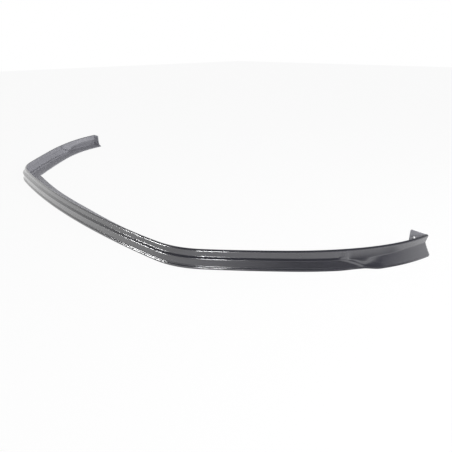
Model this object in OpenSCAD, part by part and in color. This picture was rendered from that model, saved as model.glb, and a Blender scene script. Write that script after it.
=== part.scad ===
// Front splitter lip: one moulded shell, swept along a U-shaped plan.
// Seen in section, from the top: a rolled edge, an upright wall, a groove, a projecting
// ledge with a rounded bead, an undercut face, a rim, and a floor flange going inwards.
// Towards each rear end the bead runs down into the rim and a flared side blade takes over.
// Lengths in millimetres, +Z up, the car's forward direction is -Y.
// The origin is at the middle of the footprint, on the floor.

/* [Plan] */
// Length of one half, measured along the groove from the middle to the rear end
half_len = 1141; // [1110:1:1180]
// Steady backward sweep of the whole half, in degrees per metre of length
sweep_rate = 17.4; // [12:0.1:22]
// Extra turn at the front corner, in degrees
corner_turn = 32; // [20:1:40]
// Where the corner is, along the half
corner_at = 516; // [480:1:560]
// Length over which the corner turns
corner_len = 160; // [120:1:200]
// Extra turn of the rear stretch, in degrees
rear_turn = 30; // [15:1:36]
// Where the rear stretch starts to turn, along the half
rear_from = 772; // [720:1:820]
// How late the rear stretch turns (1 is a plain arc)
rear_power = 1.5; // [1:0.1:2]

/* [Wall] */
// Thickness of the shell
shell_t = 3; // [2.5:0.1:3.5]
// Height of the top edge along the front
front_h = 46; // [42:0.5:52]
// How much higher the top edge is at the rear ends
end_rise = 7.5; // [0:0.5:10]
// Radius of the rolled top edge
roll_r = 6; // [5:0.5:8]
// How far the top edge lies behind the groove along the front
top_back = 4; // [2:0.5:6]
// How far the top edge leans out at the rear ends, from where it is along the front
top_flare = 9; // [0:0.5:12]

/* [Ledge] */
// Height of the groove under the wall
groove_z = 26.5; // [24:0.5:29]
// Height of the bead on the edge of the ledge
bead_z = 22.5; // [20:0.5:24]
// How far the bead stands out from the groove
bead_out = 8; // [6:0.5:10]
// Radius of the bead
bead_r = 1.4; // [1:0.1:1.8]
// How far the face under the bead is set back behind it
undercut = 1.8; // [0.5:0.1:2.5]
// How far the rim stands out from the groove
rim_out = 10; // [9:0.5:12]
// Height of the rim
rim_h = 4; // [3.5:0.1:5]

/* [Blade] */
// Where the bead starts to run down, along the half
strip_from = 896; // [880:1:910]
// Length over which the bead runs down into the rim
strip_len = 62; // [50:1:75]
// How far the blade's rim stands out from its crease
blade_out = 20.5; // [16:0.5:24]
// Length over which the rim flares out to the blade
flare_len = 38; // [30:1:50]
// Height of the crease over the hollow in front of the blade
hollow_z = 21; // [19:0.5:23]
// Height of the crease over the blade
crease_z = 30; // [26:0.5:32]
// Length over which the crease rises from the hollow to the blade
crease_len = 95; // [60:1:110]
// Radius of the blade's rear corner, seen from above
blade_corner = 9; // [4:0.5:12]

/* [Flange] */
// How far the floor flange reaches in from the groove
flange_in = 59; // [50:1:66]
// Height of the stiffening rib on the flange
rib_h = 2; // [1:0.1:3]
// How far the rib lies in from the groove
rib_in = 12; // [10:0.5:16]
// Width of the rib at its foot
rib_w = 7; // [5:0.5:8]

/* [End tabs] */
// Thickness of the tab that closes each rear end
tab_t = 3; // [2:0.1:4]
// How far the tab reaches in from the groove at its top
tab_in = 37; // [33:0.5:42]
// How much lower the tab's top is at its inner end
tab_drop = 3; // [0:0.5:5]
// Radius of the tab's inner top corner
tab_round = 4; // [2:0.5:6]
// Height at which the tab starts to widen towards the floor flange
tab_knee = 20; // [12:1:20]
// Diameter of the screw holes in the tabs
hole_d = 5.5; // [4:0.1:6.5]
// Height of the lower screw hole
hole_z = 19; // [16:0.5:20]
// Distance between the two screw holes of a tab
hole_pitch = 16; // [12:0.5:18]
// Distance of the holes from the tab's inner edge
hole_edge = 9; // [7:0.5:12]

/* [Hidden] */
lip_colour = "#3a3b40";
eps = 0.05;
floor_t = shell_t;
strip_end = strip_from + strip_len;
blade_at = strip_end + flare_len;
corner_end = corner_at + corner_len / 2;
lift = half_len - corner_end;

function ramp(x) = let (u = min(1, max(0, x))) u * u * (3 - 2 * u);
function between(a, b, u) = a + (b - a) * u;

// Plan: the heading is a formula of the length s along the half
function in_corner(s) = ramp((s - corner_at) / corner_len + 0.5);
function in_rear(s) = pow(max(0, s - rear_from) / (half_len - rear_from), rear_power);
function heading(s) = sweep_rate * s / 1000 + corner_turn * in_corner(s) + rear_turn * in_rear(s);
function ahead(s) = [cos(heading(s)), sin(heading(s))];
function leg(a, b) = (b - a) / 6 * (ahead(a) + 4 * ahead((a + b) / 2) + ahead(b));

// Where the sections stand: close together where the form changes fast
function steps(a, b, d) = let (n = max(1, round((b - a) / d))) [for (i = [0:n - 1]) a + (b - a) * i / n];
places = concat(
    steps(0, corner_end - corner_len, 48),
    steps(corner_end - corner_len, corner_end, 11.5),
    steps(corner_end, rear_from, 33),
    steps(rear_from, strip_from - 6, 22),
    steps(strip_from - 6, blade_at, 5.3),
    steps(blade_at, half_len - blade_corner, 14),
    steps(half_len - blade_corner, half_len, 3),
    [half_len]);
last = len(places) - 1;
spine = [for (i = 0, p = [0, 0]; i <= last; p = i < last ? p + leg(places[i], places[i + 1]) : p, i = i + 1) p];
rear_xy = spine[last];

// The sections turn square to the car at the rear ends, so that the tabs there are flat
function facing(s) = heading(s) + (90 - heading(half_len)) * ramp((s - half_len + 60) / 60);

// Section: each size below is a formula of s as well; (o, z) is outwards from the groove, and up
function rise(s) = ramp((s - corner_end) / lift);
function top_z(s) = front_h + end_rise * rise(s);
function top_o(s) = -top_back + top_flare * ramp((s - blade_at + 120) / (half_len - blade_at + 120));
function bead_down(s) = pow(min(1, max(0, s - strip_from) / strip_len), 1.25);
function bead_h(s) = between(bead_z, rim_h + 0.6, bead_down(s));
function crease_h(s) = groove_z - (groove_z - hollow_z) * ramp((s - strip_from + 8) / 22)
    + (crease_z - hollow_z) * ramp((s - blade_at + flare_len / 2) / crease_len);
function corner_cut(s) = let (u = max(0, s - half_len + blade_corner) / blade_corner)
    blade_corner * 0.6 * (1 - sqrt(max(0, 1 - u * u)));
function rim_o(s) = rim_out + (blade_out - rim_out) * ramp((s - strip_end + 8) / flare_len) - corner_cut(s);
function bead_o(s) = between(bead_out, rim_o(s) - 0.3, bead_down(s));
// 1 is a square inner corner, 0 a straight slope
function hollow(s) = between(0.8, between(1, 0.16, ramp((s - strip_end - 6) / (flare_len + 14))),
    ramp((s - strip_from) / 20));

// The flange's inner edge keeps its two stretches straight up to a mitre at the corner
mitre_r = corner_len / (corner_turn * PI / 180);
function flange_o(s) = let (a = corner_turn * in_corner(s), f = min(a, corner_turn - a))
    -(mitre_r - (mitre_r - flange_in) / cos(f));
function rib_up(s) = rib_h * (1 - ramp((s - strip_from - 8) / 26));

function bend(a, c, b, n) = [for (i = [0:n]) let (u = i / n)
    (1 - u) * (1 - u) * a + 2 * u * (1 - u) * c + u * u * b];
function arc(m, r, from, to, n) = [for (i = [0:n]) let (a = from + (to - from) * i / n) m + r * [cos(a), sin(a)]];

// The roll, the wall and the curve down to the bead, on the outside and a shell's thickness inside it
function roll_mid(s) = [top_o(s) + roll_r * 0.45 - roll_r, top_z(s) - roll_r];
function outer(s) = let (
        k = [0, crease_h(s)],
        b = [bead_o(s), bead_h(s) + bead_r * 0.8],
        c = between((k + b) / 2, [0.4, b[1] + 0.3], hollow(s)),
        foot = [bead_o(s) - undercut, bead_h(s) - 2 * bead_r],
        low = min(rim_h + 1.5, foot[1] - 0.4),
        dip = min(1, max(0, (foot[1] - rim_h) / 8)))
    concat(
        arc(roll_mid(s), roll_r, 80, 0, 4),
        bend(k, c, b - [bead_r, 0], 5),
        arc([b[0] - bead_r, b[1] - bead_r], bead_r, 60, -30, 3),
        dip > 0.3
            ? [foot, [rim_o(s) - 3, between(foot[1], low, 0.75)], [rim_o(s) - 2.4, low - 0.4]]
            : [for (i = [0:2]) [between(b[0], rim_o(s), (i + 1) / 4), b[1] - 1.6 * bead_r - 0.25 * i]],
        arc([rim_o(s) - 1.8, 1.8], 1.8, dip > 0.3 ? 50 : 25, -90, 3));
function inner(s) = let (
        k = [-shell_t, crease_h(s) + 0.5],
        bo = bead_o(s) - 3.6, bz = max(floor_t + 0.9, bead_h(s) - 4.4),
        d = bead_down(s),
        foot = [between(rim_out - 5.6, rim_o(s) - 5.4, d), floor_t],
        b = [between(bo, foot[0] + 0.2, d), bz],
        c = between((k + b) / 2, [-shell_t, b[1]], between(0.3, hollow(s) * 0.9, d)))
    concat(
        [[flange_o(s), 0], [flange_o(s), floor_t]],
        [for (i = [0:3]) [-rib_in + rib_w * [-0.5, -0.2, 0.2, 0.5][i],
            floor_t + [0, 1, 1, 0][i] * max(0.02, rib_up(s))]],
        [foot - [1.2, 0], [foot[0] - 0.2, floor_t + 0.5]],
        bend(b, c, k, 4),
        arc(roll_mid(s), roll_r - shell_t, 0, 80, 2));
function section(s) = concat(outer(s), inner(s));

function place(side, i, q) = let (f = facing(places[i]), p = spine[i])
    [side * (p[0] + q[0] * sin(f)), p[1] - q[0] * cos(f), q[1]];
rings = concat(
    [for (i = [last:-1:1]) [for (q = section(places[i])) place(-1, i, q)]],
    [for (i = [0:last]) [for (q = section(places[i])) place(1, i, q)]]);

// An end face is a thin bent band: it is laced up in triangles from the rim to the top,
// i counting down the outer side and j up the inner side, always across the shorter way
end_section = section(half_len);
outer_last = len(outer(half_len)) - 1;
function lace(i, j) = i == 0 && j == len(end_section) - 1 ? [] :
    let (
        a = i > 0 ? norm(end_section[i - 1] - end_section[j]) : 1e6,
        b = j < len(end_section) - 1 ? norm(end_section[i] - end_section[j + 1]) : 1e6,
        floor_first = j < outer_last + 8)
    !floor_first && a < b ? concat([[i - 1, i, j]], lace(i - 1, j)) : concat([[i, j, j + 1]], lace(i, j + 1));
end_face = lace(outer_last, outer_last + 1);

module swept_shell() {
    m = len(rings[0]);
    n = len(rings);
    polyhedron(
        points = [for (r = rings) each r],
        faces = concat(
            end_face,
            [for (i = [0:n - 2]) for (j = [0:m - 1]) let (a = i * m + j, b = i * m + (j + 1) % m)
                each [[a, b + m, b], [a, a + m, b + m]]],
            [for (f = end_face) [for (k = [2:-1:0]) (n - 1) * m + f[k]]]),
        convexity = 10);
}

// One end tab: it fills the end section up to the middle of the shell
module end_tab() {
    s = half_len;
    half_t = shell_t / 2;
    r = roll_mid(s);
    top = r[1] + roll_r - half_t;
    inner_top = top - tab_drop;
    outline = concat(
        arc(r, roll_r - half_t, 80, 0, 4),
        [[-half_t, crease_h(s) + 0.3],
         [rim_o(s) - 4, floor_t],
         [rim_o(s) - 5, half_t],
         [flange_o(s) + eps, half_t],
         [flange_o(s) + eps, floor_t]],
        bend([flange_o(s) + eps, floor_t + 0.4], [-tab_in - 3, floor_t + 3], [-tab_in - 2, tab_knee], 6),
        arc([-tab_in + tab_round, inner_top - tab_round], tab_round, 180, 95, 4));
    translate([rear_xy[0], rear_xy[1], 0])
        rotate([90, 0, 0])
            difference() {
                linear_extrude(tab_t) polygon(outline);
                for (z = [hole_z, hole_z + hole_pitch])
                    translate([-tab_in + hole_edge, z, -1]) cylinder(d = hole_d, h = tab_t + 2, $fn = 32);
            }
}

module front_lip() {
    color(lip_colour)
        translate([0, -(rear_xy[1] - rim_out) / 2, 0])
            union() {
                swept_shell();
                end_tab();
                mirror([1, 0, 0]) end_tab();
            }
}

front_lip();
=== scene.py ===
# %% [markdown]
# A front lip for a car, seen from its right front corner as it lies on a pale floor.
# The real one is a single moulding in gloss black plastic: a long thin skin with a wall,
# a ledge and a floor flange, bent in plan to follow a bumper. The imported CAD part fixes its
# size and place. This lesson dresses it: the same form with soft edges, and the finish.

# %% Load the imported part
import math

import bpy
import bmesh
from mathutils import Matrix, Vector


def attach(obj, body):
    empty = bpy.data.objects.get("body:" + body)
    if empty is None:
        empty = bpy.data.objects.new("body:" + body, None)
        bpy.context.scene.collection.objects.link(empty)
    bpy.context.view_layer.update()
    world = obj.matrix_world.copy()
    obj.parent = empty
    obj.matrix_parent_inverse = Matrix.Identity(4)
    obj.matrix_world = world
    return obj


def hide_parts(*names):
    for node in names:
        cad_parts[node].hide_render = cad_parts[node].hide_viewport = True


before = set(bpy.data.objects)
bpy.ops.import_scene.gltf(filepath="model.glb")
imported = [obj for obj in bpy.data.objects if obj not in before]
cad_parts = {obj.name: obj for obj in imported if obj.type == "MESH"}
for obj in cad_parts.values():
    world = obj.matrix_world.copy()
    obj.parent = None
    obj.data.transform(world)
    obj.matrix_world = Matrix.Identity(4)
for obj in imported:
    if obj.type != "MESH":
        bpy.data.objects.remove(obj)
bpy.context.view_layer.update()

# %% [markdown]
# Every size below is one that the real part has, in millimetres and degrees, so it can be
# compared with the part's own drawing. The plan could be a curve drawn by hand, but a formula
# keeps each size in sight. The heading turns with s, the length from the middle of the lip:
# a steady sweep, a corner, and a late turn towards the rear end.

# %% Sizes of the plan
MM = 0.001
HALF_LEN = 1141.0
SWEEP_TURN, CORNER_TURN, REAR_TURN = 19.85, 32.0, 30.0
CORNER_AT, CORNER_LEN = 516.0, 160.0
REAR_AT, REAR_POWER = 772.0, 1.5
# Over this last stretch the section turns straight across, so that it meets the flat tab
SQUARE_LEN = 60.0
CORNER_END = CORNER_AT + CORNER_LEN / 2
print("length along the lip:", 2 * HALF_LEN, "mm; the corner ends at s =", CORNER_END)


# %% The plan as a formula of s
def part_of(x):
    """x, held between 0 and 1."""
    return min(1.0, max(0.0, x))


def ramp(x):
    """A smooth rise from 0 to 1 while x goes from 0 to 1."""
    u = part_of(x)
    return u * u * (3 - 2 * u)


def between(a, b, u):
    return a + (b - a) * u


def heading(s):
    corner = ramp((s - CORNER_AT) / CORNER_LEN + 0.5)
    rear = (max(0.0, s - REAR_AT) / (HALF_LEN - REAR_AT)) ** REAR_POWER
    return SWEEP_TURN * s / HALF_LEN + CORNER_TURN * corner + REAR_TURN * rear


def rear_end(step=1.0):
    """Where the right rear end lies, found by walking along the heading."""
    x = y = 0.0
    for i in range(int(HALF_LEN / step)):
        a = math.radians(heading((i + 0.5) * step))
        x, y = x + step * math.cos(a), y + step * math.sin(a)
    return x, y


REAR_X, REAR_Y = rear_end()
print(f"rear end at x {REAR_X:.1f} mm, heading {heading(HALF_LEN):.1f} degrees")

# %% [markdown]
# The section changes along the lip: the bead runs down to the floor before each rear end,
# and a hollow and a flared blade follow. Points pushed by hand would leave waves in a glossy
# skin, so each height and reach is a small formula of s, made from the sizes below. Heights
# are measured from the floor, and reaches outwards from the wall.

# %% Sizes of the section
# The skin, and the top edge, which lies lower in the middle and rises towards the rear
SHELL, FRONT_H, MID_DROP, MID_LEN, END_RISE, RISE_POWER = 3.0, 46.0, 2.0, 380.0, 7.2, 1.7
# The wall follows that drop and rise with these shares, leans back, and flares at the rear
WALL_DROP, WALL_RISE, WALL_BACK, WALL_FLARE, WALL_FLARE_LEN = 0.4, 1.15, 1.4, 6.0, 265.0
# The slanted facet along the top
FACET_H, FACET_W = 4.3, 4.6
# The groove over the ledge, and the bead along the ledge's edge
GROOVE_Z, BEAD_Z, BEAD_H, BEAD_OUT, BEAD_R, UNDERCUT = 29.0, 27.0, 2.8, 8.0, 1.2, 1.7
# The face under the bead, and the rim on the floor
FACE_Z, FACE_OUT, RIM_OUT, RIM_H, RIM_R = 8.2, 7.0, 10.0, 5.2, 1.7
SHIFT_Y = -(REAR_Y - RIM_OUT) / 2
print(f"depth over all {REAR_Y + RIM_OUT:.1f} mm, moved by {SHIFT_Y:.1f} mm to be centred")

# %% Sizes of the strip, the hollow and the blade
STRIP_FROM, STRIP_LAG, STRIP_LEN, STRIP_LEAN, RIM_DRAW = 893.0, 15.0, 53.0, 0.28, 2.4
CLOSE_LEN, OPEN_LEN, HOLLOW_IN, HOLLOW_Z = 24.0, 14.0, 1.0, 24.8
FLARE_LEN, BLADE_OUT, BLADE_RIM, BLADE_CORNER = 40.0, 18.0, 3.2, 9.0
CREASE_Z, CREASE_LEN = 31.0, 105.0
OPEN_FROM = STRIP_FROM + STRIP_LAG + 4
FLARE_FROM = STRIP_FROM + STRIP_LEN + 6
BLADE_AT = FLARE_FROM + FLARE_LEN
print("the strip starts at s =", STRIP_FROM, "and the blade stands from", BLADE_AT)

# %% Sizes of the flange and the tabs
# The flange reaches a little farther in at the middle, and carries a low rib
FLANGE_IN, FLANGE_MORE, FLANGE_MORE_LEN = 60.0, 3.5, 260.0
RIB_H, RIB_IN, RIB_W = 2.0, 12.0, 7.0
TAB_T, TAB_IN, TAB_ROUND, TAB_KNEE, TAB_SOFT = 3.0, 40.0, 3.0, 20.0, 0.4
HOLE_D, HOLE_Z, HOLE_PITCH, HOLE_EDGE = 5.5, 19.0, 16.0, 12.0
print("flange", FLANGE_IN, "mm in, tab holes", HOLE_D, "mm wide and", HOLE_PITCH, "mm apart")


# %% The wall as formulas of s
def below_front(s):
    return MID_DROP * (1 - ramp((s - MID_LEN) / CORNER_LEN))


def above_rear(s):
    return END_RISE * part_of((s - CORNER_END) / (HALF_LEN - CORNER_END)) ** RISE_POWER


def wall_top(s):
    flared = WALL_FLARE * ramp((s - HALF_LEN + WALL_FLARE_LEN) / WALL_FLARE_LEN)
    height = FRONT_H - FACET_H - WALL_DROP * below_front(s) + WALL_RISE * above_rear(s)
    return Vector((flared - WALL_BACK, height))


def edge_top(s):
    return Vector((wall_top(s).x - FACET_W, FRONT_H - below_front(s) + above_rear(s)))


def facet_in(s):
    """The direction square to the facet, towards the inside."""
    d = (edge_top(s) - wall_top(s)).normalized()
    return Vector((-d.y, d.x))


print("top edge at the middle, the corner and the rear end:",
      [round(edge_top(s).y, 1) for s in (0, CORNER_AT, HALF_LEN)])


# %% The bead, the strip and the rim as formulas of s
# The bead's two edges run down one after the other, so a slanting strip is left between them
def low_down(s):
    return part_of((s - STRIP_FROM) / STRIP_LEN) ** 1.5


def rim_up(s):
    return between(RIM_H, BLADE_RIM, low_down(s))


def bead_top(s):
    late = part_of((s - STRIP_FROM - STRIP_LAG) / STRIP_LEN) ** 1.1
    return between(BEAD_Z, rim_up(s) + 1.8, late)


def bead_low(s):
    return between(BEAD_Z - BEAD_H, rim_up(s) + 0.7, low_down(s))


def rim_o(s):
    """The rim's reach: drawn in along the strip, out along the blade, round at its rear corner."""
    u = max(0.0, s - HALF_LEN + BLADE_CORNER) / BLADE_CORNER
    cut = BLADE_CORNER * 0.6 * (1 - math.sqrt(max(0.0, 1 - u * u)))
    drawn = RIM_DRAW * ramp((s - STRIP_FROM) / (0.8 * STRIP_LEN))
    flared = (BLADE_OUT - RIM_OUT + RIM_DRAW) * ramp((s - FLARE_FROM) / FLARE_LEN)
    return RIM_OUT - drawn + flared - cut


def bead_lean(s):
    return STRIP_LEAN * max(0.0, bead_top(s) - bead_low(s) - BEAD_H)


def bead(s):
    """The bead's upper edge and its radius: the strip leans back as the wall does."""
    reach = between(BEAD_OUT, rim_o(s) - 0.2, low_down(s)) - bead_lean(s)
    return Vector((reach, bead_top(s))), min(BEAD_R, 0.42 * (bead_top(s) - bead_low(s)))


print("bead top along the strip:", [round(bead_top(STRIP_FROM + d), 1) for d in (0, 30, 60)])


# %% The hollow, the crease and the flange as formulas of s
def hollow(s):
    """How far the hollow is open, from 0 to 1: it starts behind the strip and ends at the blade."""
    return ramp((s - OPEN_FROM) / OPEN_LEN) * (1 - ramp((s - FLARE_FROM) / (FLARE_LEN + 10)))


def crease(s):
    """The foot of the wall. It is the groove's corner at the front, and closes over the strip."""
    b, r = bead(s)
    height = (between(GROOVE_Z, HOLLOW_Z, ramp((s - OPEN_FROM + 10) / 12))
              + (CREASE_Z - HOLLOW_Z) * ramp((s - BLADE_AT + 8) / CREASE_LEN))
    closed = ramp((s - OPEN_FROM + CLOSE_LEN + 8) / CLOSE_LEN) * (1 - ramp((s - OPEN_FROM) / OPEN_LEN))
    return Vector((0, height)).lerp(wall_top(s).lerp(b - Vector((r, 0)), 0.6), closed)


def flange_o(s):
    """The flange's inner edge. It runs nearly straight on both sides of the corner, which is mitred."""
    r = CORNER_LEN / math.radians(CORNER_TURN)
    a = CORNER_TURN * ramp((s - CORNER_AT) / CORNER_LEN + 0.5)
    more = FLANGE_MORE * (1 - ramp(s / FLANGE_MORE_LEN))
    return -(r - (r - FLANGE_IN) / math.cos(math.radians(min(a, CORNER_TURN - a)))) - more


print("flange edge at the middle, the corner and the rear end:",
      [round(flange_o(s), 1) for s in (0, CORNER_AT, HALF_LEN)])

# %% [markdown]
# A list of (outwards, up) points describes one section, the outside first, then the inside.
# Every section has the same number of points, so neighbours can be joined point by point.
# A moulding has no sharp edge, and a sharp one would catch no light. So each corner of the
# section is replaced by a short curve of about a millimetre, which is where the streaks show.


# %% One section as a closed outline
def arc(mid, r, start, end, n):
    angles = [math.radians(start + (end - start) * i / n) for i in range(n + 1)]
    return [Vector(mid) + r * Vector((math.cos(a), math.sin(a))) for a in angles]


def bend(a, c, b, n):
    """n + 1 points from a to b, on a curve that is pulled towards c."""
    return [(1 - u) ** 2 * a + 2 * u * (1 - u) * c + u * u * b for u in (i / n for i in range(n + 1))]


def face_under_bead(s):
    """The undercut face between the bead and the rim, pressed flat where the strip runs down."""
    low, start = low_down(s), BEAD_Z - BEAD_H
    foot_z = between(rim_up(s), rim_up(s) - RIM_R + 0.8, low)
    points = ((BEAD_OUT - UNDERCUT, start - 0.6), (FACE_OUT, FACE_Z + 2.2), (FACE_OUT - 0.2, FACE_Z + 0.9),
              (FACE_OUT - 0.7, FACE_Z), (FACE_OUT - 0.9, RIM_H + 1.1))
    return [Vector((between(o, rim_o(s) - 0.2, low),
                    between(bead_low(s), foot_z, (start - z) / (start - RIM_H)))) for o, z in points]


def outer(s):
    """The outside: facet, wall, groove or hollow, bead, face and rim, from the top down."""
    w, t, k = wall_top(s), edge_top(s), crease(s)
    d = (t - w).normalized()
    b, r = bead(s)
    c = ((k + b) / 2).lerp(Vector((-HOLLOW_IN, b.y + 0.3)), hollow(s))
    return ([t + 0.7 * facet_in(s), t - 0.7 * d, w + 1.3 * d, w + Vector((-0.25, 0.1)), w - Vector((0, 1.3))]
            + bend(k, c, b - Vector((r, 0)), 7) + arc(b - Vector((r, r)), r, 60, 0, 3)
            + arc((b.x + bead_lean(s) - r, bead_low(s) + r), r, 0, -60, 3) + face_under_bead(s)
            + arc((rim_o(s) - RIM_R, rim_up(s) - RIM_R), RIM_R, between(80, 20, low_down(s)), 0, 3)
            + [Vector((rim_o(s), 0.5)), Vector((rim_o(s) - 0.5, 0))])


def inner(s):
    """The inside: the flange's edge, its rib, the hollow's back and the wall, from the floor up."""
    low, b_out = low_down(s), BEAD_OUT - UNDERCUT - 2.9
    lift = between(2.4, 1, ramp((s - OPEN_FROM) / OPEN_LEN))
    k = crease(s) - Vector((SHELL, between(lift, -1.2, hollow(s))))
    foot = Vector((between(RIM_OUT - 5.6, rim_o(s) - 5.4, low), SHELL))
    b = Vector((between(b_out, foot.x + 0.2, low), max(SHELL + 0.9, bead_top(s) - SHELL)))
    c = ((k + b) / 2).lerp(Vector((-SHELL * 1.3 - HOLLOW_IN, b.y)), hollow(s))
    up = RIB_H * (1 - ramp((s - STRIP_FROM - 8) / 26))
    rib = [Vector((-RIB_IN + RIB_W * x, SHELL + max(0.02, up) * y))
           for x, y in ((-0.5, 0), (-0.2, 1), (0.2, 1), (0.5, 0))]
    return ([Vector((flange_o(s), 0)), Vector((flange_o(s), SHELL))] + rib
            + [foot - Vector((1.2, 0)), Vector((foot.x - 0.2, SHELL + 0.5))]
            + bend(b, c, k, 5) + [wall_top(s) - Vector((SHELL, 1.3)), edge_top(s) + SHELL * facet_in(s)])


def softened(points, reach=1.1, n=3):
    """Each corner of a closed outline is replaced by a short curve."""
    soft = []
    for i, p in enumerate(points):
        to_a, to_b = points[i - 1] - p, points[(i + 1) % len(points)] - p
        a = p + to_a.normalized() * min(reach, to_a.length * 0.42)
        b = p + to_b.normalized() * min(reach, to_b.length * 0.42)
        soft += bend(a, p, b, n)
    return soft


print("one section:", len(outer(0)), "points outside,", len(inner(0)), "inside")

# %% [markdown]
# First the moulding is made straight, as if it were unrolled: x is the length s, and the
# section stands across it. A curve with a bevel can't change its section, so bmesh joins ring
# to ring. The rings stand closer together where the form changes fast. Both halves mirror
# each other, so the same rings serve for -s.


# %% The straight moulding
def steps(a, b, d):
    """Even steps of about d from a up to b, without b itself."""
    n = max(1, round((b - a) / d))
    return [a + (b - a) * i / n for i in range(n)]


SPACING = [(0, 430, 14), (430, 600, 5), (600, 864, 10), (864, 1010, 2.6),
           (1010, HALF_LEN - 14, 6), (HALF_LEN - 14, HALF_LEN, 1.4)]
half = [s for a, b, d in SPACING for s in steps(a, b, d)] + [HALF_LEN]
rings = [-s for s in reversed(half[1:])] + half

straight = bmesh.new()
rows = [[straight.verts.new((s * MM, -q.x * MM, q.y * MM)) for q in softened(outer(abs(s)) + inner(abs(s)))]
        for s in rings]
inside = straight.faces.layers.bool.new("inside")
skin = 4 * len(outer(0)) - 2
for row, ahead in zip(rows, rows[1:]):
    for j in range(len(row)):
        k = (j + 1) % len(row)
        straight.faces.new((row[j], row[k], ahead[k], ahead[j]))[inside] = j > skin
print(len(rings), "rings of", len(rows[0]), "points,", len(straight.faces), "faces")

# %% Close its ends and make it an object
ends = [straight.faces.new(rows[0][::-1]), straight.faces.new(rows[-1])]
for end in ends:
    end.normal_update()
    for edge in end.edges:
        edge.smooth = False
bmesh.ops.triangulate(straight, faces=ends)
bmesh.ops.recalc_face_normals(straight, faces=straight.faces)
mesh = bpy.data.meshes.new("straight_moulding")
straight.to_mesh(mesh)
straight.free()
lip = bpy.data.objects.new("lip_skin", mesh)
bpy.context.scene.collection.objects.link(lip)
print("closed moulding:", len(mesh.polygons), "faces")

# %% [markdown]
# Bending it is a job for Geometry Nodes: one tree lays out the plan as a curve, by adding up
# small steps in the direction of the heading, and then puts each point of the moulding beside
# the curve. The sizes are named inputs, so the same tree could bend another lip.


# %% Helpers for node trees
def add(tree, kind, links=None, **settings):
    """Adds one node, sets its properties and its inputs, and links the sockets given."""
    node = tree.nodes.new(kind)
    for name, value in settings.items():
        setattr(node, name, value)
    for key, value in (links or {}).items():
        if isinstance(value, bpy.types.NodeSocket):
            tree.links.new(value, node.inputs[key])
        else:
            node.inputs[key].default_value = value
    return node


def new_group(name, inputs, outputs):
    tree = bpy.data.node_groups.new(name, "GeometryNodeTree")
    for label, kind, value in inputs:
        socket = tree.interface.new_socket(label, in_out="INPUT", socket_type=kind)
        if value is not None:
            socket.default_value = value
    for label, kind in outputs:
        tree.interface.new_socket(label, in_out="OUTPUT", socket_type=kind)
    return tree, tree.nodes.new("NodeGroupInput").outputs, tree.nodes.new("NodeGroupOutput").inputs


def calc(tree, operation, a, b=0.0, c=0.0):
    return add(tree, "ShaderNodeMath", {0: a, 1: b, 2: c}, operation=operation).outputs[0]


def smooth_step(tree, value, start, end, first=0.0, last=1.0):
    """Goes smoothly from first to last while value goes from start to end."""
    return add(tree, "ShaderNodeMapRange", {"Value": value, "From Min": start, "From Max": end,
                                            "To Min": first, "To Max": last},
               interpolation_type="SMOOTHSTEP").outputs["Result"]


print("node groups before the first tree:", len(bpy.data.node_groups))

# %% The heading as a node group
PLAN = [("Sweep Turn", math.radians(SWEEP_TURN)), ("Corner Turn", math.radians(CORNER_TURN)),
        ("Corner At", CORNER_AT * MM), ("Corner Length", CORNER_LEN * MM),
        ("Rear Turn", math.radians(REAR_TURN)), ("Rear At", REAR_AT * MM), ("Rear Power", REAR_POWER),
        ("Half Length", HALF_LEN * MM)]
turn, given, result = new_group("Heading", [("Length", "NodeSocketFloat", None)]
                                + [(name, "NodeSocketFloat", value) for name, value in PLAN],
                                [("Heading", "NodeSocketFloat")])
s = given["Length"]
half_corner = calc(turn, "MULTIPLY", given["Corner Length"], 0.5)
in_corner = smooth_step(turn, s, calc(turn, "SUBTRACT", given["Corner At"], half_corner),
                        calc(turn, "ADD", given["Corner At"], half_corner))
past = calc(turn, "MAXIMUM", calc(turn, "SUBTRACT", s, given["Rear At"]), 0.0)
rear_len = calc(turn, "SUBTRACT", given["Half Length"], given["Rear At"])
in_rear = calc(turn, "POWER", calc(turn, "DIVIDE", past, rear_len), given["Rear Power"])
swept = calc(turn, "MULTIPLY", calc(turn, "DIVIDE", s, given["Half Length"]), given["Sweep Turn"])
cornered = calc(turn, "MULTIPLY_ADD", in_corner, given["Corner Turn"], swept)
turn.links.new(calc(turn, "MULTIPLY_ADD", in_rear, given["Rear Turn"], cornered), result["Heading"])
print("heading group:", len(turn.nodes), "nodes")

# %% The tree that bends the moulding: its inputs and the plan's curve
STEPS = 2000
bender, given, result = new_group("Bend Along Plan", [("Geometry", "NodeSocketGeometry", None)]
                                  + [(name, "NodeSocketFloat", value) for name, value in PLAN]
                                  + [("Square Length", "NodeSocketFloat", SQUARE_LEN * MM),
                                     ("Shift", "NodeSocketFloat", 0.0),
                                     ("Outside Finish", "NodeSocketMaterial", None),
                                     ("Inside Finish", "NodeSocketMaterial", None)],
                                  [("Geometry", "NodeSocketGeometry")])


def heading_at(length):
    links = {"Length": length}
    links.update({name: given[name] for name, _ in PLAN})
    node = add(bender, "GeometryNodeGroup", node_tree=turn)
    for name, socket in links.items():
        bender.links.new(socket, node.inputs[name])
    return node.outputs["Heading"]


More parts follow.
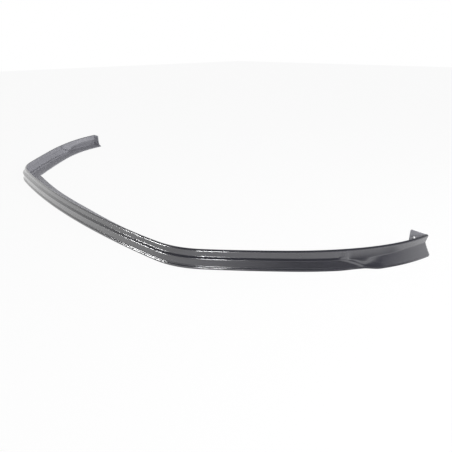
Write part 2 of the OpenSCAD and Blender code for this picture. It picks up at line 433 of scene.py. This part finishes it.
line = add(bender, "GeometryNodeMeshLine", {"Count": STEPS + 1})
step = calc(bender, "DIVIDE", given["Half Length"], float(STEPS))
index = add(bender, "GeometryNodeInputIndex").outputs[0]
way = heading_at(calc(bender, "MULTIPLY", calc(bender, "ADD", index, 0.5), step))
stride = add(bender, "ShaderNodeCombineXYZ", {"X": calc(bender, "MULTIPLY", calc(bender, "COSINE", way), step),
                                              "Y": calc(bender, "MULTIPLY", calc(bender, "SINE", way), step)})
walked = add(bender, "GeometryNodeAccumulateField", data_type="FLOAT_VECTOR")
bender.links.new(stride.outputs[0], walked.inputs[0])
laid = add(bender, "GeometryNodeSetPosition", {"Geometry": line.outputs["Mesh"],
                                               "Position": walked.outputs["Trailing"]})
plan = add(bender, "GeometryNodeMeshToCurve", {"Mesh": laid.outputs["Geometry"]})
print("the plan's curve:", STEPS, "steps,", len(bender.nodes), "nodes")

# %% The same tree: each point goes beside the curve, and the finishes go on
here = add(bender, "ShaderNodeSeparateXYZ", {0: add(bender, "GeometryNodeInputPosition").outputs[0]})
length = calc(bender, "ABSOLUTE", here.outputs["X"])
side = calc(bender, "SIGN", here.outputs["X"])
out = calc(bender, "MULTIPLY", here.outputs["Y"], -1.0)
spot = add(bender, "GeometryNodeSampleCurve",
           {"Curves": plan.outputs["Curve"], "Factor": calc(bender, "DIVIDE", length, given["Half Length"])},
           mode="FACTOR")
spine = add(bender, "ShaderNodeSeparateXYZ", {0: spot.outputs["Position"]})
left_over = calc(bender, "SUBTRACT", math.pi / 2, heading_at(given["Half Length"]))
square_from = calc(bender, "SUBTRACT", given["Half Length"], given["Square Length"])
squared = smooth_step(bender, length, square_from, given["Half Length"])
facing = calc(bender, "MULTIPLY_ADD", left_over, squared, heading_at(length))
beside_x = calc(bender, "MULTIPLY_ADD", out, calc(bender, "SINE", facing), spine.outputs["X"])
beside_y = calc(bender, "SUBTRACT", spine.outputs["Y"],
                calc(bender, "MULTIPLY", out, calc(bender, "COSINE", facing)))
placed = add(bender, "ShaderNodeCombineXYZ", {"X": calc(bender, "MULTIPLY", beside_x, side),
                                              "Y": calc(bender, "ADD", beside_y, given["Shift"]),
                                              "Z": here.outputs["Z"]})
bent = add(bender, "GeometryNodeSetPosition", {"Geometry": given["Geometry"], "Position": placed.outputs[0]})
smooth = add(bender, "GeometryNodeSetShadeSmooth", {"Geometry": bent.outputs["Geometry"]})
real = add(bender, "GeometryNodeRealizeInstances", {"Geometry": smooth.outputs["Geometry"]})
polished = add(bender, "GeometryNodeSetMaterial", {"Geometry": real.outputs["Geometry"],
                                                   "Material": given["Outside Finish"]})
marked = add(bender, "GeometryNodeInputNamedAttribute", {"Name": "inside"}, data_type="BOOLEAN")
done = add(bender, "GeometryNodeSetMaterial", {"Geometry": polished.outputs["Geometry"],
                                               "Material": given["Inside Finish"],
                                               "Selection": marked.outputs["Attribute"]})
bender.links.new(done.outputs["Geometry"], result["Geometry"])
print("bending tree:", len(bender.nodes), "nodes")

# %% [markdown]
# The finish is ABS, moulded in black against a polished tool, so the skin is smooth and glossy.
# Its inside is the tool's other half: only satin, with a faint grain. One plain black would
# look like a hole in the picture, so the gloss gets a clear hard coat that mirrors the room
# over a dark body, and its roughness drifts a little, as a real moulding's does.


# %% Colours and the two finishes
def srgb(code):
    """An sRGB hex colour, turned to the linear numbers that shaders work in."""
    parts = [int(code[i:i + 2], 16) / 255 for i in (1, 3, 5)]
    return tuple(c / 12.92 if c <= 0.04045 else ((c + 0.055) / 1.055) ** 2.4 for c in parts) + (1.0,)


ABS_IOR, CLOUD_MM = 1.54, 60


def finish(name, colour, roughness, grain_mm, depth_mm, **more):
    """A plastic: its gloss varies a little over CLOUD_MM, and a fine grain stands on its surface."""
    material = bpy.data.materials.new(name)
    material.use_nodes = True
    tree = material.node_tree
    shader = tree.nodes["Principled BSDF"]
    shader.inputs["Base Color"].default_value = srgb(colour)
    shader.inputs["IOR"].default_value = ABS_IOR
    for socket, value in more.items():
        shader.inputs[socket.replace("_", " ")].default_value = value
    place = add(tree, "ShaderNodeTexCoord").outputs["Object"]
    cloud = add(tree, "ShaderNodeTexNoise", {"Vector": place, "Scale": 1 / (CLOUD_MM * MM), "Detail": 3.0})
    gloss_map = add(tree, "ShaderNodeMapRange", {"Value": cloud.outputs["Fac"],
                                                 "From Min": 0.3, "From Max": 0.7,
                                                 "To Min": roughness * 0.85, "To Max": roughness * 1.15})
    tree.links.new(gloss_map.outputs["Result"], shader.inputs["Roughness"])
    grain = add(tree, "ShaderNodeTexNoise", {"Vector": place, "Scale": 1 / (grain_mm * MM), "Detail": 2.0})
    relief = add(tree, "ShaderNodeBump", {"Height": grain.outputs["Fac"], "Distance": depth_mm * MM})
    tree.links.new(relief.outputs["Normal"], shader.inputs["Normal"])
    return material


# A polished black moulding: a dark body, a clear hard skin that mirrors the room, and the
# faint waves, 2 mm wide and 0.002 mm deep, that such a skin keeps from cooling
gloss = finish("polished_black_abs", "#29292f", 0.24, 2.0, 0.002,
               Coat_Weight=1.0, Coat_Roughness=0.09, Coat_IOR=1.7)
# The side towards the car: the same black plastic, given a pale grey. The pale grey is painted sheen: it
# stands in for the light that the satin grain scatters.
# Such a grain is usually 0.2 to 0.3 mm wide. It is drawn 0.9 mm wide, or it wouldn't show.
satin = finish("satin_black_abs", "#9c9ca2", 0.42, 0.9, 0.02)
print("materials:", gloss.name, satin.name)

# %% [markdown]
# The tree runs once, and its result stays as a plain mesh that can be exported. The finishes
# are two of its inputs, which is why they come before this step.


# %% Bend the moulding and keep the result as a plain mesh
def baked(obj, tree, values):
    """Runs a node tree on an object once, and leaves the result as the object's own mesh."""
    modifier = obj.modifiers.new("shape", "NODES")
    modifier.node_group = tree
    names = {item.name: item.identifier for item in tree.interface.items_tree if item.in_out == "INPUT"}
    for name, value in values.items():
        modifier[names[name]] = value
    shaped = bpy.data.meshes.new_from_object(obj.evaluated_get(bpy.context.evaluated_depsgraph_get()))
    obj.modifiers.remove(modifier)
    old = obj.data
    obj.data = shaped
    bpy.data.meshes.remove(old)


values = dict(PLAN)
values.update({"Shift": SHIFT_Y * MM, "Outside Finish": gloss, "Inside Finish": satin})
baked(lip, bender, values)
lip.data.name = "lip_skin"
print("bent moulding:", [round(c, 4) for c in lip.dimensions])

# %% [markdown]
# Each rear end is closed by a flat tab with two screw holes, one above the other. A flat
# curve with holes in it, given a thickness and a small bevel, is the quickest plate with
# clean edges: a boolean cut would leave ragged ones.


# %% The tab's outline
def tab_outline():
    half_t, end, f = SHELL / 2, HALF_LEN, flange_o(HALF_LEN)
    top = edge_top(end).y
    points = [edge_top(end) + half_t * facet_in(end), wall_top(end) - Vector((half_t, 0.7)),
              crease(end) - Vector((half_t, 0.5))]
    points += [Vector(p) for p in ((rim_o(end) - 4, SHELL), (rim_o(end) - 5, half_t), (f, half_t), (f, SHELL))]
    points += bend(Vector((f, SHELL + 0.4)), Vector((-TAB_IN - 2, SHELL + 3)), Vector((-TAB_IN, TAB_KNEE)), 12)
    return points + arc((-TAB_IN + TAB_ROUND, top - TAB_ROUND), TAB_ROUND, 180, 92, 8)


print("tab outline:", len(tab_outline()), "points")


# %% The end tabs
def tab(name, side):
    """The tab of one side, 1 for the right and -1 for the left, standing where the lip ends."""
    data = bpy.data.curves.new(name, "CURVE")
    data.dimensions, data.fill_mode = "2D", "BOTH"
    data.extrude, data.bevel_depth, data.bevel_resolution = (TAB_T / 2 - TAB_SOFT) * MM, TAB_SOFT * MM, 2
    data.offset = -TAB_SOFT * MM
    holes = [arc((-TAB_IN + HOLE_EDGE, z), HOLE_D / 2, 0, -345, 23) for z in (HOLE_Z, HOLE_Z + HOLE_PITCH)]
    for loop in [tab_outline()] + holes:
        spline = data.splines.new("POLY")
        spline.points.add(len(loop) - 1)
        for point, q in zip(spline.points, loop):
            point.co = (side * q.x * MM, q.y * MM, 0, 1)
        spline.use_cyclic_u = True
    made = bpy.data.objects.new(name + "_curve", data)
    mesh = bpy.data.meshes.new_from_object(made)
    mesh.name = name
    where = Matrix.Translation((side * REAR_X * MM, (REAR_Y + SHIFT_Y - TAB_T / 2) * MM, 0))
    mesh.transform(where @ Matrix.Rotation(math.pi / 2, 4, "X"))
    work = bmesh.new()
    work.from_mesh(mesh)
    bmesh.ops.remove_doubles(work, verts=work.verts, dist=1e-5)
    bmesh.ops.recalc_face_normals(work, faces=work.faces)
    work.to_mesh(mesh)
    work.free()
    bpy.data.objects.remove(made)
    mesh.materials.clear()
    mesh.materials.append(satin)
    piece = bpy.data.objects.new(name, mesh)
    bpy.context.scene.collection.objects.link(piece)
    return piece


tabs = [tab("right_end_tab", 1), tab("left_end_tab", -1)]
print("tabs:", [len(t.data.polygons) for t in tabs])

# %% [markdown]
# The frame has to know what each piece stands for. The skin takes the place of the CAD part's
# only node, and the tabs go with it. Nothing on the lip moves, so all of it rides on the root.

# %% Tell the frame what the pieces are
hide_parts("front_lip")
for piece in [lip] + tabs:
    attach(piece, "root")
print("pieces:", [piece.name for piece in [lip] + tabs])

# %% [markdown]
# The picture was taken with a wide lens from close by, a little above the lip and to its
# right. A camera placed by eye never quite lines up, so its numbers come from a fit to the
# lip's edges in the picture. The small shift puts the middle of the view where the fit has it.

# %% Camera
SENSOR_MM, PICTURE_PX, FOCAL_PX, MIDDLE_PX = 36, 452, 433.48, (224.907, 226.147)
EYE, ROLL = (1.2758, -0.4775 + SHIFT_Y * MM, 0.4856), math.radians(-0.6118)
camera = bpy.data.objects.new("camera", bpy.data.cameras.new("camera"))
bpy.context.scene.collection.objects.link(camera)
look = Vector((-0.6889, 0.6125, -0.3876)).normalized()
right = look.cross(Vector((0, 0, 1))).normalized()
up = right.cross(look)
right, up = right * math.cos(ROLL) + up * math.sin(ROLL), up * math.cos(ROLL) - right * math.sin(ROLL)
camera.matrix_world = Matrix.Translation(EYE) @ Matrix((right, up, -look)).transposed().to_4x4()
camera.data.sensor_width = SENSOR_MM
camera.data.lens = SENSOR_MM * FOCAL_PX / PICTURE_PX
camera.data.shift_x = (PICTURE_PX / 2 - MIDDLE_PX[0]) / PICTURE_PX
camera.data.shift_y = (MIDDLE_PX[1] - PICTURE_PX / 2) / PICTURE_PX
camera.data.clip_start = 0.02
bpy.context.scene.camera = camera
bpy.context.scene.view_settings.view_transform = "Standard"
print("lens", round(camera.data.lens, 2), "mm")

# %% [markdown]
# The lip lies on white paper that runs into a white background, with only a faint shadow.
# So the camera sees the floor as nearly plain white, mixed with a little of the real paper.
# Glossy black shows mostly what it mirrors, and its upright faces mirror the floor beside
# them. On an even floor they would all be one pale grey. In a studio, dark and light boards
# would lie there. Here the floor itself stands for the boards, in reflections alone: its
# brightness changes softly from place to place.


# %% The paper floor
def mixed(tree, factor, first, second):
    return add(tree, "ShaderNodeMixShader", {0: factor, 1: first, 2: second}).outputs[0]


FLOOR_HALF, SHOWN_WHITE, MIRRORED_SHARE = 9, 0.93, 0.85
floor_mesh = bpy.data.meshes.new("floor")
floor_mesh.from_pydata([(x * FLOOR_HALF, y * FLOOR_HALF, 0) for x, y in ((-1, -1), (1, -1), (1, 1), (-1, 1))],
                       [], [(0, 1, 2, 3)])
floor = bpy.data.objects.new("floor", floor_mesh)
bpy.context.scene.collection.objects.link(floor)
# Matt white paper: pale, rough, and with hardly any shine
paper = bpy.data.materials.new("white_paper_floor")
paper.use_nodes = True
tree = paper.node_tree
matt = tree.nodes["Principled BSDF"]
matt.inputs["Base Color"].default_value = srgb("#e6e6e6")
matt.inputs["Roughness"].default_value = 0.9
matt.inputs["Specular IOR Level"].default_value = 0.1
path = add(tree, "ShaderNodeLightPath")
white = add(tree, "ShaderNodeEmission", {"Color": (1, 1, 1, 1), "Strength": 1.0}).outputs[0]
shown = mixed(tree, calc(tree, "MULTIPLY", path.outputs["Is Camera Ray"], SHOWN_WHITE), matt.outputs[0], white)
floor.data.materials.append(paper)
print("floor:", 2 * FLOOR_HALF, "m wide, material", paper.name)

# %% The floor as the lip mirrors it
# X runs along the right arm towards its rear end, and Y across it, both in metres
ARM_TURN = math.radians(51.7)
turned = add(tree, "ShaderNodeMapping", {"Vector": add(tree, "ShaderNodeTexCoord").outputs["Object"],
                                         "Rotation": (0, 0, -ARM_TURN)})
along = add(tree, "ShaderNodeSeparateXYZ", {0: turned.outputs[0]}).outputs
# White in front of the lip, then nearly black along the arm, and white again at the blade
before_arm = smooth_step(tree, along["X"], 0.15, 0.46, 1.0, 0.03)
at_blade = smooth_step(tree, along["X"], 0.68, 0.74, 0.0, 1.0)
# White also a hand's breadth out from the arm, which is what its wall mirrors
inwards = calc(tree, "MULTIPLY", calc(tree, "MAXIMUM", calc(tree, "SUBTRACT", along["X"], 0.47), 0.0), -0.45)
beside_arm = smooth_step(tree, calc(tree, "ADD", along["Y"], inwards), -0.74, -0.67, 1.0, 0.0)
lit = calc(tree, "MAXIMUM", calc(tree, "MAXIMUM", before_arm, beside_arm), at_blade)
mirrored = add(tree, "ShaderNodeEmission", {"Color": (1, 1, 1, 1), "Strength": lit}).outputs[0]
shown = mixed(tree, calc(tree, "MULTIPLY", path.outputs["Is Glossy Ray"], MIRRORED_SHARE), shown, mirrored)
tree.links.new(shown, tree.nodes["Material Output"].inputs["Surface"])
print("floor material:", len(tree.nodes), "nodes")

# %% [markdown]
# The room is white around the lip and darker overhead. Seen from above, an upright face
# mirrors the floor, but one that leans well back mirrors the ceiling, and those are the
# darkest faces in the picture. A ramp on the height of the direction makes such a room. The
# camera sees plain white instead.

# %% World
WHITE_UP_TO, GREY_FROM, CEILING = 0.3, 0.72, "#58585c"
world = bpy.data.worlds.new("studio")
bpy.context.scene.world = world
world.use_nodes = True
tree = world.node_tree
direction = add(tree, "ShaderNodeSeparateXYZ", {0: add(tree, "ShaderNodeTexCoord").outputs["Generated"]})
height = add(tree, "ShaderNodeValToRGB", {0: direction.outputs["Z"]})
stops = height.color_ramp.elements
stops[0].position, stops[0].color = WHITE_UP_TO, (1, 1, 1, 1)
stops[1].position, stops[1].color = GREY_FROM, srgb(CEILING)
around = add(tree, "ShaderNodeBackground", {"Color": height.outputs["Color"], "Strength": 1.0}).outputs[0]
clear = add(tree, "ShaderNodeBackground", {"Color": (1, 1, 1, 1), "Strength": 1.0}).outputs[0]
path = add(tree, "ShaderNodeLightPath")
seen = mixed(tree, path.outputs["Is Camera Ray"], around, clear)
tree.links.new(seen, tree.nodes["World Output"].inputs["Surface"])
print("world: white up to", round(math.degrees(math.asin(WHITE_UP_TO))), "degrees, grey from",
      round(math.degrees(math.asin(GREY_FROM))))

# %% [markdown]
# The picture has bright streaks along the rounded edges on both sides of the front corner. A
# rounded edge mirrors a lamp only where the lip's turn lets it, so the streaks' ends tell
# where two softboxes stand. They would flood the flat faces too, so they are seen only in
# reflections. A third lamp does the opposite: it fills in light from the side and isn't
# mirrored, because its patch would lie across the blade.


# %% Softboxes
def softbox(name, turn, rise, aim, far, size, watts, only):
    """A lamp in the direction (turn, rise) in degrees, as seen from the point it is aimed at.

    only is "streaks" for a lamp that is only mirrored, or "fill" for one that only lights."""
    a, e = math.radians(turn), math.radians(rise)
    out = Vector((math.cos(e) * math.cos(a), math.cos(e) * math.sin(a), math.sin(e)))
    light = bpy.data.lights.new(name, "AREA")
    light.shape, light.size, light.size_y, light.energy = "RECTANGLE", size[0], size[1], watts
    lamp = bpy.data.objects.new(name, light)
    facing_aim = out.to_track_quat("Z", "Y").to_matrix().to_4x4()
    lamp.matrix_world = Matrix.Translation(Vector(aim) + out * far) @ facing_aim
    lamp.visible_glossy, lamp.visible_diffuse = only == "streaks", only == "fill"
    bpy.context.scene.collection.objects.link(lamp)
    return lamp


softbox("left_softbox", -132, 30, (0.47, -0.24, 0), 2.2, (1.1, 0.4), 80, "streaks")
softbox("right_softbox", -59, 30, (0.60, -0.17, 0), 2.2, (0.5, 0.5), 55, "streaks")
softbox("side_fill", 0, 24, (0.0, 0.0, 0), 2.6, (1.6, 1.0), 60, "fill")
